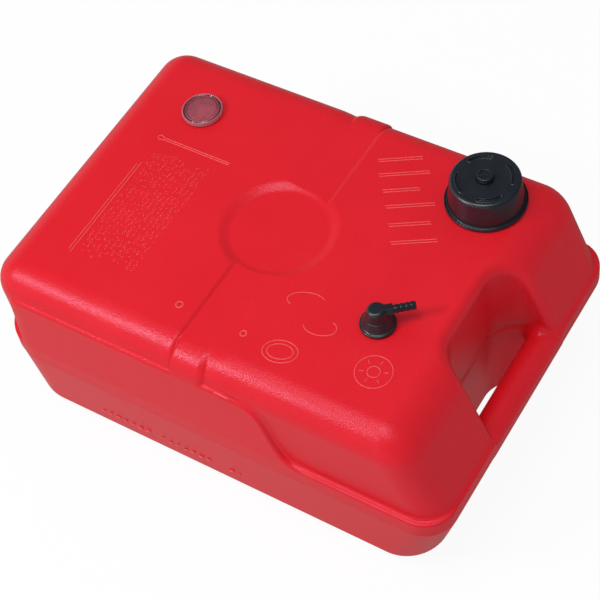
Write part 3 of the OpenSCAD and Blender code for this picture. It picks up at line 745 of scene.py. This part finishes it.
def elbow_form(x, y, z):
    x, y = x - OUTLET[0], y - OUTLET[1]
    out = np.hypot(x, y)
    head = within(
        out - HEAD_RADIUS + (z - 223) * 0.25, z - HEAD_TOP + 0.006 * out * out, 2.6)
    head = np.maximum(head, HEAD_FOOT - z)

    # The six-sided collar and the barbed tail lie along one level axis.
    far = x * math.cos(TAIL_TURN) + y * math.sin(TAIL_TURN)
    side = y * math.cos(TAIL_TURN) - x * math.sin(TAIL_TURN)
    tube = np.hypot(side, z - TAIL_HEIGHT)
    above = np.abs(z - TAIL_HEIGHT)
    six = np.maximum(above * 0.5 + np.abs(side) * 0.866, above)
    collar = within(within(six - 5.4, far - 15.45, 0.5), 4 - far, 0.5)
    beat = ((TAIL_END - far) / BARB_STEP) % 1.0
    barb = BARB_RISE * np.clip(beat * 1.25, 0, 1) * (1 - ease(beat, 0.90, 1.0))
    barb = np.where(far > TAIL_END - BARBS * BARB_STEP, barb, 0)
    tail = within(within(tube - TAIL_RADIUS - barb, far - TAIL_END, 0.4), -far, 0.5)

    # The spigot turns in the bell, with a groove for its ring.
    spigot = np.maximum(np.maximum(out - 5.93, 209.12 - z), z - 226)
    spigot = np.maximum(spigot, -np.maximum(4.45 - out, np.abs(z - 213.2) - 1.1))
    form = np.minimum(joined(joined(head, collar, 0.8), tail, 0.4), spigot)
    form = np.maximum(form, -np.maximum(out - TAIL_BORE, z - TAIL_HEIGHT))
    return np.maximum(form, -np.maximum(tube - TAIL_BORE, -far))


elbow_box = (OUTLET[0] - 10, OUTLET[1] - 10, 208), (OUTLET[0] + 34, OUTLET[1] + 30, 236)
elbow = moulded("hose_elbow", elbow_form, elbow_box, 0.24, 150000)
elbow.data.materials.append(black)
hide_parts("swivel_elbow")
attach(elbow, "swivel")

dressed(rubber, "outlet_gasket", "swivel_seal")
dressed(black, "dip_tube", "dip_strainer", "strainer_cap")


# ---- The float gauge --------------------------------------------------------------------
# A cup pressed into the top with a dial and pointer under a clear window, in a translucent
# ring. The float rides on two rods and turns the pointer's twisted strip.

RING_RADIUS, RING_BORE, RING_TOP, RING_FOOT = 21.25, 17.05, 215.35, 210.42
GROOVE_RADIUS = 18.6


def gauge_ring(x, y, z):
    out = np.hypot(x - GAUGE[0], y - GAUGE[1])
    form = within(within(out - RING_RADIUS, z - RING_TOP, 1.9), RING_FOOT - z, 0.4)
    form = within(form, -(out - RING_BORE), 0.8)
    form = np.maximum(form, 1.3 - np.hypot(out - GROOVE_RADIUS, (z - 215.2) * 0.8))
    return np.maximum(form, -np.maximum(out - 20.35, z - 212.35))


bezel = moulded("gauge_ring", gauge_ring, box_round(GAUGE, 22.5, 209.5, 216.4), 0.28, 120000)


def off_axis(place):
    """How far a place is from the gauge's upright axis, in metres."""
    axis = (GAUGE[0] / 1000, GAUGE[1] / 1000, 0)
    off = place.node("ShaderNodeVectorMath", {"operation": "SUBTRACT"}, [place, axis])
    flat = place.node("ShaderNodeVectorMath", {"operation": "MULTIPLY"}, [off, (1, 1, 0)])
    return place.node("ShaderNodeVectorMath", {"operation": "LENGTH"}, [flat], output="Value")


def ring_skin(place):
    # A painted shade darkens the ring along its groove and makes it more opaque there.
    off_groove = place.math("ABSOLUTE", off_axis(place) - GROOVE_RADIUS / 1000)
    groove_shade = passage(off_groove, 0.0005, 0.0012, 1.0, 0.0)
    return {
        "Base Color": shade(groove_shade, (0.82, 0.24, 0.29), (0.03, 0.012, 0.025)),
        "Alpha": 0.5 + groove_shade * 0.45}


clear_ring = finish_of("clear_ring", {
    "Roughness": 0.12, "Specular IOR Level": 0.8, "Coat Weight": 0.6}, ring_skin)
bezel.data.materials.append(clear_ring)
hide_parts("gauge_bezel")
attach(bezel, "tank")


def window_skin(place):
    haze = noise(place, 160.0, 5.0)
    waves = noise(place, 90.0, 2.0)
    return {"Alpha": 0.18 + haze * 0.30, "Normal": relief(waves, 0.35, 0.0012)}


window = finish_of("clear_window", {
    "Base Color": (0.60, 0.13, 0.18, 1), "Roughness": 0.08, "Specular IOR Level": 0.9,
    "Coat Weight": 0.5}, window_skin)
dressed(window, "gauge_lens")


def dial_skin(place):
    cloud = noise(place, 220.0, 5.0, Roughness=0.7)
    rim = place.node("ShaderNodeMapRange", inputs={
        "Value": off_axis(place), "From Min": 0.009, "From Max": 0.015})
    return {
        "Base Color": shade(
            rim * 0.6 + cloud * 0.4, (0.42, 0.055, 0.080), (0.22, 0.050, 0.080)),
        "Roughness": 0.4 + cloud * 0.2}


dial = finish_of("gauge_plate", {"Specular IOR Level": 0.5}, dial_skin)
pointer = finish_of("pointer_paint", {"Base Color": (0.55, 0.04, 0.03, 1)}, soft_skin)
foam = finish_of("float_foam", {"Base Color": (0.035, 0.03, 0.026, 1)}, soft_skin)
dressed(dial, "gauge_dial")
dressed(pointer, "gauge_pointer")
dressed(foam, "gauge_float")
dressed(black, "gauge_body", "gauge_foot")
dressed(rubber, "gauge_gasket", "gauge_lens_seal")
dressed(steel, "gauge_rails", "gauge_strip")
